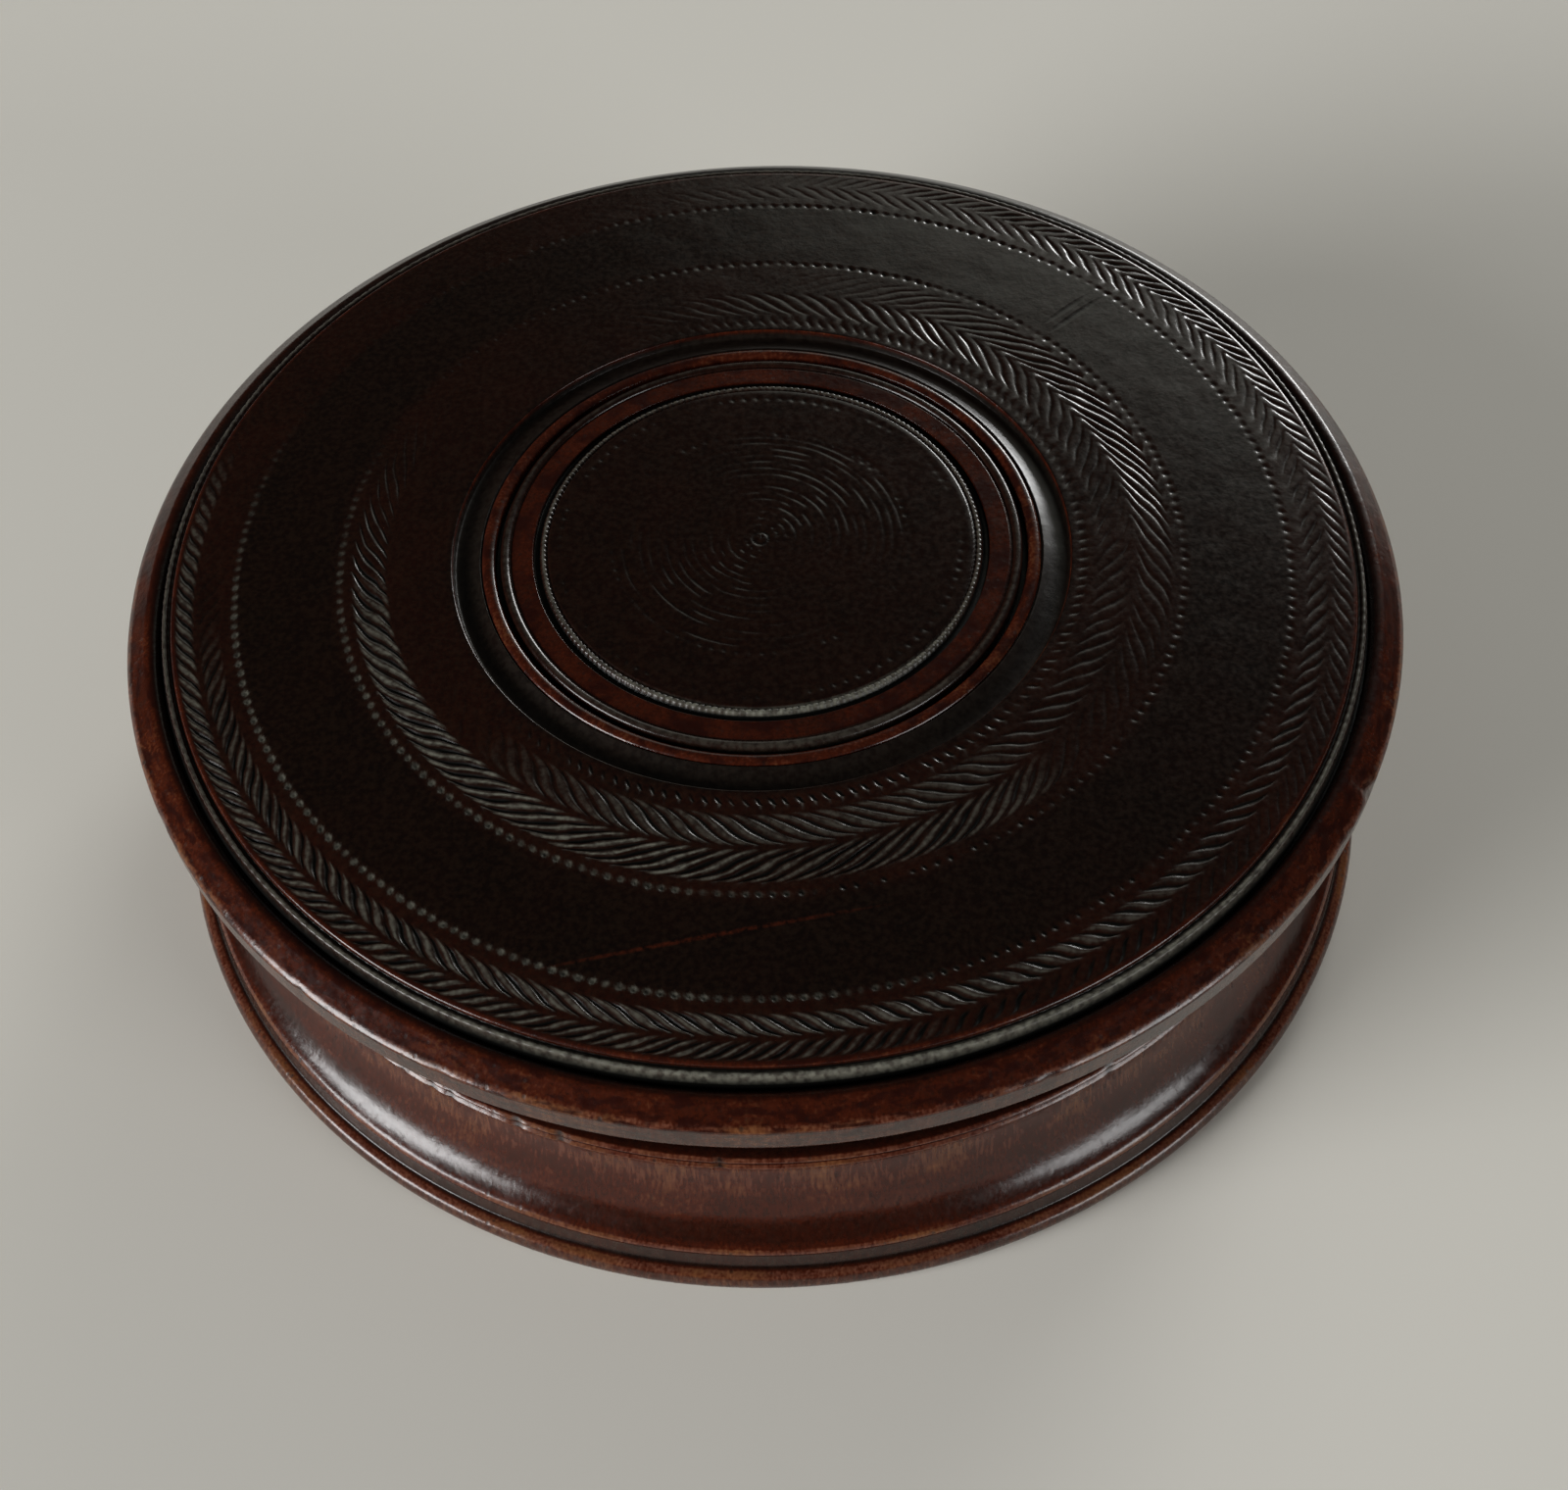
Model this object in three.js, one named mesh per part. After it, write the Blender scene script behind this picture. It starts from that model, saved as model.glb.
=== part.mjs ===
// A round table snuff box, turned in two pieces of wood: a hollow base with an
// upstanding collar, and a slightly domed lid that pushes down over that collar.
// Millimetres, +Z up, origin on the table under the centre of the box.
import * as THREE from "three";

// Overall sizes
const lidDiameter = 90;
const baseHeight = 13.8; // table to the shoulder under the lid
const domeRise = 2.1; // from the panel's edge up to its crown

// The base's outside, from the table up
const footInset = 0.5; // from the lid's rim in to the foot
const footBeadHeight = 1.8;
const restWidth = 7.6; // the flat ring that the box stands on
const footGrooveHeight = 1.25;
const footGrooveDepth = 0.4;
const arrisInset = 1.15; // from the foot's edge in to the edge over the groove
const arrisHeight = 0.35;
const throatInset = 0.5; // from the neck in to the narrowest part of the cove
const throatDrop = 2.65; // from the cove's top down to its throat
const coveEndAngle = 68; // degrees that the cove has turned outward at its foot
const coveLip = 0.7;
const bandHeight = 0.75; // the small band over the cove
const bandProud = 0.5; // from the neck out to the band's lower edge
const bandSlope = 0.3;
const bandLip = 0.15;
const neckHeight = 1.45;
const neckInset = 0.4; // from the lid's skirt in to the neck

// The base's inside
const collarHeight = 4.6;
const collarWall = 2;
const collarChamfer = 0.3;
const floorThickness = 2.6;
const hollowCorner = 3.5;
const underRecessDepth = 0.6;
const underRecessSlope = 0.5;

// The lid's side and inside
const rimWidth = 3.4;
const rimHeight = 4.2;
const rimDrop = 3; // from the panel's edge down to the rim's widest line
const skirtInset = 3.5; // from the rim in to the skirt
const skirtWall = 2.6;
const skirtCurve = 1.6; // height of the hollow curve under the rim
const headroom = 2.9; // over the collar
const lidCorner = 1.5;
const panelThickness = 3.1; // at the panel's edge
const edgeGrooveDepth = 1.6;
const edgeGrooveFloor = 0.15; // flat between the groove and the milled bead
const edgeBeadInset = 3.05; // from the rim in to the milled bead's middle
const edgeBeadRadius = 0.36;
const panelMargin = 0.1; // between the milled bead and the panel, and in height

// The medallion turned in the middle of the lid, from its edge inward
const medallionRadius = 21.7;
const medallionCoveWidth = 1.7;
const medallionCoveDepth = 0.7;
const medallionCoveCurve = 0.6;
const ovoloWidth = 1.1;
const ovoloRise = 0.6;
const medallionGrooveWidth = 0.5;
const medallionGrooveDepth = 0.5;
const grooveSlope = 0.05;
const paleBeadWidth = 0.75;
const redBandWidth = 1.6;
const redBandSink = 0.15;
const innerBeadWidth = 0.6;

// Clearances
const fitClearance = 0.3; // between the collar and the lid
const seatGap = 0.3; // between the shoulder and the lid's lower edge

const turnSegments = 64;

// Radii and heights that follow from the sizes above
const lidRadius = lidDiameter / 2;
const footRadius = lidRadius - footInset;
const skirtRadius = lidRadius - skirtInset;
const neckRadius = skirtRadius - neckInset;
const recessRadius = skirtRadius - skirtWall;
const collarRadius = recessRadius - fitClearance;
const hollowRadius = collarRadius - collarWall;
const collarTop = baseHeight + collarHeight;
const recessDepth = collarHeight - seatGap + headroom;
const panelEdge = recessDepth + panelThickness;
const crown = panelEdge + domeRise;
const edgeBeadMiddle = lidRadius - edgeBeadInset;
const panelRadius = edgeBeadMiddle - edgeBeadRadius - panelMargin;

// Points along an elliptical arc. Angles are in degrees: 0 is outward, 90 is up.
function arc(r, z, reach, rise, from, to, steps) {
  return Array.from({ length: steps + 1 }, (_, i) => {
    const angle = THREE.MathUtils.degToRad(from + ((to - from) * i) / steps);
    return [r + reach * Math.cos(angle), z + rise * Math.sin(angle)];
  });
}

// A quarter ellipse that stops short of level, from the foot up to the throat, and
// then the cove's short upper curve.
function cove(bottomRadius, bottom, top) {
  const throatRadius = neckRadius - throatInset;
  const throat = top - throatDrop;
  const end = THREE.MathUtils.degToRad(coveEndAngle);
  const reach = (bottomRadius - throatRadius) / (1 - Math.cos(end));
  const drop = (throat - bottom) / Math.sin(end);
  return [
    ...arc(throatRadius + reach, throat, reach, drop, 180 + coveEndAngle, 180, 6),
    ...arc(throatRadius + coveLip, throat, coveLip, throatDrop, 180, 90, 3).slice(1),
  ];
}

function baseProfile() {
  const footRound = footBeadHeight / 2;
  const groove = footGrooveHeight / 2;
  const arrisRadius = footRadius - arrisInset;
  const arrisBottom = footBeadHeight + footGrooveHeight;
  const neckBottom = baseHeight - neckHeight;
  const bandBottom = neckBottom - bandHeight;
  const underRadius = footRadius - footRound - restWidth;
  const hollowFloor = underRecessDepth + floorThickness;
  const cornerRadius = hollowRadius - hollowCorner;
  const cornerHeight = hollowFloor + hollowCorner;
  return [
    [0, underRecessDepth],
    [underRadius - underRecessSlope, underRecessDepth],
    [underRadius, 0],
    ...arc(footRadius - footRound, footRound, footRound, footRound, -90, 90, 6),
    ...arc(arrisRadius, footBeadHeight + groove, footGrooveDepth, groove, 240, 120, 3),
    [arrisRadius, arrisBottom],
    ...cove(arrisRadius, arrisBottom + arrisHeight, bandBottom - bandLip),
    [neckRadius + bandProud, bandBottom],
    [neckRadius + bandProud - bandSlope, neckBottom],
    [neckRadius, neckBottom],
    [neckRadius, baseHeight],
    [collarRadius, baseHeight],
    [collarRadius, collarTop - collarChamfer],
    [collarRadius - collarChamfer, collarTop],
    [hollowRadius + collarChamfer, collarTop],
    [hollowRadius, collarTop - collarChamfer],
    ...arc(cornerRadius, cornerHeight, hollowCorner, hollowCorner, 0, -90, 5),
    [0, hollowFloor],
  ];
}

// Height of the lid's gently domed face at a radius
function domeHeight(r) {
  return crown - domeRise * (r / panelRadius) ** 2;
}

function roundBead(edge, width) {
  const middle = edge - width / 2;
  return arc(middle, domeHeight(middle) - width / 2, width / 2, width / 2, 0, 180, 3);
}

// A hollow edge, an ovolo, a bead and a sunk band, and an inner bead
function medallion() {
  const ovoloEdge = medallionRadius - medallionCoveWidth;
  const outerGroove = ovoloEdge - ovoloWidth;
  const beadEdge = outerGroove - medallionGrooveWidth;
  const bandEdge = beadEdge - paleBeadWidth;
  const innerGroove = bandEdge - redBandWidth;
  const innerBeadEdge = innerGroove - medallionGrooveWidth;
  const field = innerBeadEdge - innerBeadWidth;
  const coveTop = domeHeight(medallionRadius) - medallionCoveDepth;
  const ovoloBottom = domeHeight(outerGroove) - medallionCoveDepth;
  return [
    ...arc(medallionRadius, coveTop, medallionCoveCurve, medallionCoveDepth, 90, 180, 2),
    [ovoloEdge, domeHeight(ovoloEdge) - medallionCoveDepth],
    ...arc(outerGroove, ovoloBottom, ovoloWidth, ovoloRise, 35, 90, 2),
    [outerGroove - grooveSlope, domeHeight(outerGroove) - medallionGrooveDepth - ovoloRise],
    [beadEdge, domeHeight(beadEdge) - medallionGrooveDepth - ovoloRise],
    ...roundBead(beadEdge, paleBeadWidth),
    [bandEdge - paleBeadWidth / 4, domeHeight(bandEdge) - redBandSink],
    [innerGroove, domeHeight(innerGroove) - redBandSink],
    [innerGroove - grooveSlope, domeHeight(innerGroove) - medallionGrooveDepth],
    [innerBeadEdge, domeHeight(innerBeadEdge) - medallionGrooveDepth],
    ...roundBead(innerBeadEdge, innerBeadWidth),
    [field, domeHeight(field)],
  ];
}

// Heights here are from the skirt's lower edge: the lid is turned on its own and
// then placed on the base.
function lidProfile() {
  const rimMiddle = lidRadius - rimWidth / 2;
  const rimCentre = panelEdge - rimDrop;
  const skirtTop = rimCentre - rimHeight / 2 - skirtCurve;
  const underRim = rimMiddle - skirtRadius;
  const beadEdge = edgeBeadMiddle + edgeBeadRadius;
  const beadCentre = panelEdge - edgeBeadRadius - panelMargin;
  const grooveFloor = panelEdge - edgeGrooveDepth;
  const outerRing = (panelRadius + medallionRadius) / 2;
  return [
    [0, recessDepth],
    ...arc(recessRadius - lidCorner, recessDepth - lidCorner, lidCorner, lidCorner, 90, 0, 3),
    [recessRadius, 0],
    [skirtRadius, 0],
    ...arc(rimMiddle, skirtTop, underRim, skirtCurve, 180, 110, 3),
    ...arc(rimMiddle, rimCentre, rimWidth / 2, rimHeight / 2, -80, 110, 9),
    [beadEdge + edgeGrooveFloor, grooveFloor],
    [beadEdge, grooveFloor],
    ...arc(edgeBeadMiddle, beadCentre, edgeBeadRadius, edgeBeadRadius, 0, 180, 4),
    [panelRadius, panelEdge],
    [outerRing, domeHeight(outerRing)],
    ...medallion(),
    [0, crown],
  ];
}

// Turns a profile about the box's upright axis
function turned(name, profile, finish) {
  const outline = profile.map(([r, z]) => new THREE.Vector2(r, z));
  const geometry = new THREE.LatheGeometry(outline, turnSegments);
  geometry.rotateX(Math.PI / 2);
  const mesh = new THREE.Mesh(geometry, new THREE.MeshStandardMaterial(finish));
  mesh.name = name;
  return mesh;
}

const base = turned("base", baseProfile(), { color: 0x4a2618, roughness: 0.38, metalness: 0 });
const lid = turned("lid", lidProfile(), { color: 0x24140f, roughness: 0.34, metalness: 0 });
lid.position.z = baseHeight + seatGap;

const snuffBox = new THREE.Group();
snuffBox.add(base, lid);

export default snuffBox;
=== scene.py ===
# A round push-fit snuff box, turned from dark rosewood in two halves: a hollow base and a lid
# with a turned medallion and pressed rows of dots and chevron strokes. Metres, +Z up.
import math
import bmesh
import bpy
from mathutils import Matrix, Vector, noise


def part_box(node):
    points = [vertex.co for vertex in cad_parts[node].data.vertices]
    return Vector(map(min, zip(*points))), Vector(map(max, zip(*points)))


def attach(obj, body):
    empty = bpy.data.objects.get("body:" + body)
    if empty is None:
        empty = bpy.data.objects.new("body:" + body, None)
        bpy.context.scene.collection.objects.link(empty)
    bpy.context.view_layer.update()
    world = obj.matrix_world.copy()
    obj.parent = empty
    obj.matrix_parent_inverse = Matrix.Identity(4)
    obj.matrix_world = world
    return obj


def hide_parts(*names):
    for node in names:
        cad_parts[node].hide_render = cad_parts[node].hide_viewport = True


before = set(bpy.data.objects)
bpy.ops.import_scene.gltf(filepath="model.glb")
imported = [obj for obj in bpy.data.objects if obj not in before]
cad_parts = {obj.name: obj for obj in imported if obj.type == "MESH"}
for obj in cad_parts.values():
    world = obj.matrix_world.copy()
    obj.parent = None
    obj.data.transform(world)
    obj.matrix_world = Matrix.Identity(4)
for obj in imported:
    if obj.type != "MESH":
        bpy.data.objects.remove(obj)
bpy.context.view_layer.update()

mm = 0.001
turnSteps = 256          # steps of a plain turned surface
fineSteps = 512          # steps where light runs along thin edges
weldGap = 0.004          # points nearer than this, in mm, are one point

baseLow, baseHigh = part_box("base")
lidLow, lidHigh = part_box("lid")
footRadius = baseHigh.x / mm
collarTop = baseHigh.z / mm
skirtBottom = lidLow.z / mm
crown = lidHigh.z / mm

# How worn, how darkened and how grey a surface is: old black polish, bare red-brown wood; near black, which
# is dirt and, in grooves, hollows and shaded faces, painted shade; grey wax and dust
tones = {
    "polish": (0.03, 0.0, 0.0),
    "field": (0.05, 0.0, 0.0),
    "handled": (0.42, 0.0, 0.0),
    "brown": (0.72, 0.0, 0.0),
    "browned": (0.56, 0.0, 0.0),
    "dusty": (0.50, 0.10, 0.09),
    "dim": (0.24, 0.1, 0.0),
    "shaded": (0.10, 0.35, 0.0),
    # groove is darkened fully: painted shade deep in a groove
    "groove": (0.0, 1.0, 0.0),
    "scotia": (0.22, 0.12, 0.06),
    "cove": (0.06, 0.5, 0.03),
    "ovolo": (0.46, 0.0, 0.0),
    "band": (0.36, 0.0, 0.0),
    "darkBead": (0.08, 0.1, 0.2),
    # waxed: old wax; on the milled beads its grey is kept only as a painted sheen and a painted highlight
    "waxed": (0.10, 0.1, 0.84),
    "bare": (0.75, 0.0, 0.0),
}


# Looking after Blender's selection and modes

def pickOnly(*pieces):
    if bpy.context.object and bpy.context.object.mode != "OBJECT":
        bpy.ops.object.mode_set(mode="OBJECT")
    bpy.ops.object.select_all(action="DESELECT")
    for piece in pieces:
        piece.select_set(True)
    bpy.context.view_layer.objects.active = pieces[-1]


def editAll(piece):
    pickOnly(piece)
    bpy.ops.object.mode_set(mode="EDIT")
    bpy.ops.mesh.select_all(action="SELECT")


def weld(piece):
    editAll(piece)
    bpy.ops.mesh.remove_doubles(threshold=weldGap * mm)
    bpy.ops.mesh.select_all(action="SELECT")
    bpy.ops.mesh.normals_make_consistent(inside=False)
    bpy.ops.object.mode_set(mode="OBJECT")


def joinPieces(name, pieces):
    pickOnly(*pieces)
    bpy.ops.object.join()
    piece = bpy.context.object
    piece.name = name
    piece.data.name = name
    return piece


# Outlines: each point is a radius, a height and a tone, in mm

def arc(r, z, reach, rise, start, end, steps, tone):
    turns = [math.radians(start + (end - start) * i / steps) for i in range(steps + 1)]
    return [(r + reach * math.cos(a), z + rise * math.sin(a), tone) for a in turns]


# Rounds each hard corner of an outline a little, as wear and polishing do
def easeCorners(outline, radius=0.09, sharp=26):
    eased = [outline[0]]
    for before, corner, after in zip(outline, outline[1:], outline[2:]):
        here = Vector(corner[:2])
        back, on = Vector(before[:2]) - here, Vector(after[:2]) - here
        if math.pi - back.angle(on) < math.radians(sharp):
            eased.append(corner)
            continue
        reach = min(radius, 0.42 * back.length, 0.42 * on.length)
        back, on = back.normalized() * reach, on.normalized() * reach
        for t in (0, 0.3, 0.7, 1):
            point = here + back * (1 - t) ** 2 + on * t ** 2
            eased.append((point.x, point.y, corner[2]))
    return eased + [outline[-1]]


def setTones(piece, values):
    for i, name in enumerate(("worn", "dirtAndShade", "waxAndHighlights")):
        layer = piece.data.attributes.get(name) or piece.data.attributes.new(name, "FLOAT", "POINT")
        layer.data.foreach_set("value", [v[i] for v in values])


# Turns an outline about the upright axis
def turn(name, outline, steps=turnSteps):
    mesh = bpy.data.meshes.new(name)
    links = [(i, i + 1) for i in range(len(outline) - 1)]
    mesh.from_pydata([(r * mm, 0, z * mm) for r, z, tone in outline], links, [])
    piece = bpy.data.objects.new(name, mesh)
    bpy.context.scene.collection.objects.link(piece)
    setTones(piece, [tones[tone] for r, z, tone in outline])
    editAll(piece)
    bpy.ops.mesh.spin(steps=steps, angle=2 * math.pi, center=(0, 0, 0), axis=(0, 0, 1))
    weld(piece)
    return piece


# One cell of a pressed row, copied round the axis. form(across, along) gives radius, turn in cells,
# height in mm and tone for a point of the cell
def ringOfCells(name, count, columns, rows, form):
    bpy.ops.object.select_all(action="DESELECT")
    bpy.ops.mesh.primitive_grid_add(x_subdivisions=columns, y_subdivisions=rows, size=1)
    piece = bpy.context.object
    piece.name = name
    marks = []
    for vertex in piece.data.vertices:
        r, cells, z, tone = form(round(vertex.co.x * columns), round((vertex.co.y + 0.5) * rows))
        angle = cells * 2 * math.pi / count
        vertex.co = (r * math.cos(angle) * mm, r * math.sin(angle) * mm, z * mm)
        marks.append(tone)
    setTones(piece, marks)
    editAll(piece)
    full = 2 * math.pi * (count - 1) / count
    bpy.ops.mesh.spin(steps=count - 1, dupli=True, angle=full, center=(0, 0, 0), axis=(0, 0, 1))
    weld(piece)
    return piece


# Closes the open strip between two rings of a piece
def bridgeRings(piece, inner, outer):
    editAll(piece)
    bpy.ops.mesh.select_mode(type="EDGE")
    bpy.ops.mesh.select_all(action="DESELECT")
    bpy.ops.mesh.select_non_manifold(use_wire=False, use_multi_face=False,
                                     use_non_contiguous=False, use_verts=False)
    edit = bmesh.from_edit_mesh(piece.data)
    for edge in edit.edges:
        if edge.select:
            radii = [v.co.xy.length / mm for v in edge.verts]
            edge.select_set(all(min(abs(r - inner), abs(r - outer)) < weldGap for r in radii))
    bmesh.update_edit_mesh(piece.data)
    bpy.ops.mesh.bridge_edge_loops()
    bpy.ops.object.mode_set(mode="OBJECT")


def finishPiece(piece, body, materials):
    pickOnly(piece)
    bpy.ops.object.shade_smooth()
    bpy.ops.object.modifier_add(type="WEIGHTED_NORMAL")
    bpy.ops.object.modifier_apply(modifier=piece.modifiers[-1].name)
    for material in materials:
        piece.data.materials.append(material)
    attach(piece, body)
    print(piece.name, "has", len(piece.data.polygons), "faces")


# Materials

def colour(code):
    parts = [int(code[i:i + 2], 16) / 255 for i in (1, 3, 5)]
    return (*(c / 12.92 if c <= 0.04045 else ((c + 0.055) / 1.055) ** 2.4 for c in parts), 1)


# Adds a node with its settings, and its inputs as values or as links from other nodes
def addNode(tree, kind, settings=(), inputs=()):
    node = tree.nodes.new("ShaderNode" + kind)
    for key, value in dict(settings).items():
        setattr(node, key, value)
    for key, value in dict(inputs).items():
        if isinstance(value, bpy.types.Node):
            value = next(s for s in value.outputs if s.enabled)
        if isinstance(value, bpy.types.NodeSocket):
            tree.links.new(value, node.inputs[key])
        else:
            node.inputs[key].default_value = value
    return node


woodLook = {
    "polishDark": "#080605",     # wax and smoke over dark wood
    "polishBrown": "#140d08",
    "wornRed": "#3e1609",
    "wornBrown": "#6e4434",
    "wornGold": "#6a4228",
    "darkRed": "#210906",        # dark lines in the worn wood
    # near black: dirt and painted shade, and the dark scratches and pores
    "dirtAndShade": "#030302",
    "waxAndHighlights": "#6c6b60",          # old wax and dust left in the milling, and the grey of painted highlights on beads, ridges and dots
    "polishRough": (0.17, 0.26),
    "dirtAndShadeRough": 0.38,
    "waxAndHighlightsRough": 0.55,
    "poreRough": 0.45,
    "ior": 1.46,                 # hard wax
    "scuffs": [                  # middle, angle in degrees, half length and half width in mm, how strong
        ((-4.6, -32.4), 8.5, 13.0, 0.22, 0.55),
    ],
    "marks": [                   # dark scratches, the same
        ((24.6, 22.6), 43.0, 3.2, 0.32, 0.8),
        ((24.0, 23.3), 43.0, 2.7, 0.30, 0.7),
    ],
}


# Rosewood, turned, burnished with wax and darkened by smoke and handling: a deep red-brown that shows
# where hands have worn the polish, near black elsewhere, under a close wax gloss
def rosewoodWaxed():
    look = woodLook
    material = bpy.data.materials.new("rosewoodWaxed")
    material.use_nodes = True
    tree = material.node_tree
    tree.nodes.clear()
    place = addNode(tree, "TexCoord").outputs["Object"]
    worn = addNode(tree, "Attribute", {"attribute_name": "worn"}).outputs["Fac"]
    dirtAndShade = addNode(tree, "Attribute", {"attribute_name": "dirtAndShade"}).outputs["Fac"]
    waxAndHighlights = addNode(tree, "Attribute", {"attribute_name": "waxAndHighlights"}).outputs["Fac"]

    def grain(across, upright):    # the size of one unit of the pattern in mm
        return addNode(tree, "Mapping", {"vector_type": "TEXTURE"}, {
            "Vector": place, "Scale": (across * mm, across * mm, upright * mm)})

    def spread(value, low, high, toLow=0.0, toHigh=1.0):
        return addNode(tree, "MapRange", (), {0: value, 1: low, 2: high, 3: toLow, 4: toHigh})

    def mixed(amount, first, second):
        return addNode(tree, "Mix", {"data_type": "RGBA"}, {0: amount, 6: first, 7: second})

    def worked(operation, first, second):
        return addNode(tree, "Math", {"operation": operation}, {0: first, 1: second})

    def cloud(across, upright, detail):
        return addNode(tree, "TexNoise", (), {
            "Vector": grain(across, upright), "Scale": 1, "Detail": detail}).outputs["Fac"]

    # A long soft spot on the top of the lid
    def streak(middle, angle, halfLength, halfWidth, strong):
        spot = addNode(tree, "Mapping", {"vector_type": "TEXTURE"}, {
            "Vector": place, "Location": (middle[0] * mm, middle[1] * mm, crown * mm),
            "Rotation": (0, 0, math.radians(angle)), "Scale": (halfLength * mm, halfWidth * mm, 6 * mm)})
        far = addNode(tree, "VectorMath", {"operation": "LENGTH"}, {0: spot}).outputs["Value"]
        return spread(far, 1.0, 0.25, 0.0, strong)

    # The fibres stand upright, 0.2 mm apart, so the sides show short upright streaks and the top shows
    # end grain. Dark lines cross them, 0.35 mm thick, mostly on the lid. Pores 0.2 to 0.3 mm across lie
    # in patches, where the wood is worn
    fibres = cloud(0.22, 1.7, 2)
    lines = cloud(1.5, 0.34, 2)
    patches = cloud(4.5, 4.5, 4)
    mottle = cloud(0.42, 0.5, 3)
    pores = addNode(tree, "TexVoronoi", (), {"Vector": grain(0.75, 1.9), "Scale": 1})
    poreDepth = worked("MULTIPLY", spread(pores.outputs["Distance"], 0.24, 0.12),
                       worked("MULTIPLY", worn, spread(patches, 0.38, 0.52)))
    upper = addNode(tree, "SeparateXYZ", (), {0: place}).outputs["Z"]

    shift = worked("ADD", spread(patches, 0.25, 0.75, -0.24, 0.24), spread(fibres, 0.2, 0.8, -0.32, 0.32))
    bareness = addNode(tree, "Math", {"operation": "ADD", "use_clamp": True}, {
        0: worn, 1: worked("MULTIPLY", shift, spread(worn, 0.0, 0.6))})
    for scuff in look["scuffs"]:
        bareness = worked("ADD", bareness, worked("MULTIPLY", streak(*scuff), spread(mottle, 0.35, 0.6)))
    polish = mixed(spread(mottle, 0.4, 0.62), colour(look["polishDark"]), colour(look["polishBrown"]))
    surface = mixed(spread(bareness, 0.0, 0.5), polish, colour(look["wornRed"]))
    bare = mixed(spread(patches, 0.45, 0.6), colour(look["wornBrown"]), colour(look["wornGold"]))
    surface = mixed(spread(bareness, 0.5, 1.0), surface, bare)
    dark = worked("MULTIPLY", spread(lines, 0.44, 0.62), worked(
        "MULTIPLY", spread(worn, 0.15, 0.35), spread(upper, 17 * mm, 19 * mm, 0.18, 0.85)))
    surface = mixed(dark, surface, colour(look["darkRed"]))
    scratched = 0.0
    for mark in look["marks"]:
        scratched = worked("MAXIMUM", scratched, streak(*mark))
    surface = mixed(scratched, surface, colour(look["dirtAndShade"]))
    surface = mixed(worked("MULTIPLY", poreDepth, 0.85), surface, colour(look["dirtAndShade"]))
    # Painted shade: grooves, hollows, shaded faces, the valleys of pressed marks and the back of the rim go
    # towards near black, with some dirt, as in the nicks
    surface = mixed(dirtAndShade, surface, colour(look["dirtAndShade"]))
    # Grey wax and dust, and painted highlights and sheen on the beads, ridges and dots
    waxAndHighlightFilm = worked("MULTIPLY", waxAndHighlights, spread(mottle, 0.36, 0.6, 0.35, 1.1))
    surface = mixed(waxAndHighlightFilm, surface, colour(look["waxAndHighlights"]))

    # The polish is a little uneven in its shine; the darkened grooves and hollows and the pores are duller,
    # and the grey wax and painted highlights dullest
    gloss = addNode(tree, "Mix", (), {
        0: dirtAndShade, 2: spread(mottle, 0.3, 0.7, *look["polishRough"]), 3: look["dirtAndShadeRough"]})
    gloss = addNode(tree, "Mix", (), {0: waxAndHighlights, 2: gloss, 3: look["waxAndHighlightsRough"]})
    gloss = addNode(tree, "Mix", (), {0: poreDepth, 2: gloss, 3: look["poreRough"]})

    # Unevenness 3 mm across from hand polishing, fine tool marks, fibres, open pores and scratches
    sway = cloud(3.2, 3.2, 5)
    relief = addNode(tree, "Bump", (), {"Height": sway, "Distance": 0.075 * mm, "Strength": 1})
    for height, deep, sunk in ((mottle, 0.006, False), (fibres, 0.004, False), (poreDepth, 0.012, True),
                               (scratched, 0.05, True)):
        relief = addNode(tree, "Bump", {"invert": sunk}, {
            "Height": height, "Distance": deep * mm, "Strength": 1, "Normal": relief})
    shader = addNode(tree, "BsdfPrincipled", (), {
        "Base Color": surface, "Roughness": gloss, "Normal": relief, "IOR": look["ior"]})
    addNode(tree, "OutputMaterial", (), {"Surface": shader})
    return material


# The base: foot bead, groove, cove, band, neck, shoulder, collar and the hollow for the snuff

baseShape = {
    "restRadius": 36.0,        # inside of the flat ring that the box stands on
    "recess": 0.6,             # depth of the turned recess underneath
    "scribed": (27.0, 0.4),
    "footRound": (0.72, 0.84),
    "scotia": [(43.54, 1.80), (43.44, 2.02), (43.32, 2.45), (43.24, 2.84)],    # from its foot up
    "arris": (43.38, 2.98, 3.42),
    "throat": (40.6, 9.4),
    "coveTop": (41.25, 11.42),
    "band": (41.42, 11.58, 12.34, 0.13),    # two fine beads, each worn to a narrow slant at the top
    "flat": 0.15,
    "slant": (0.03, 0.225),    # how far the slant's upper end lies inward of and over a bead's middle
    "valley": 41.30,
    "neck": 40.5,
    "shoulder": 13.8,
    "collar": 38.6,
    "hollow": 36.6,
    "corner": 3.5,
    "floor": 3.2,
    "chamfer": 0.3,
}


# A ring scribed into a turned face: the radius where it starts, the width of its floor, and the face's
# height. Its sides slope as far as it is deep
scribeDepth = 0.2


def scribedRing(start, wide, z):
    floorStart = start + scribeDepth
    floorEnd = floorStart + wide
    return [
        (start, z, "bare"),
        (floorStart, z + scribeDepth, "shaded"),
        (floorEnd, z + scribeDepth, "shaded"),
        (floorEnd + scribeDepth, z, "bare"),
    ]


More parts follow.
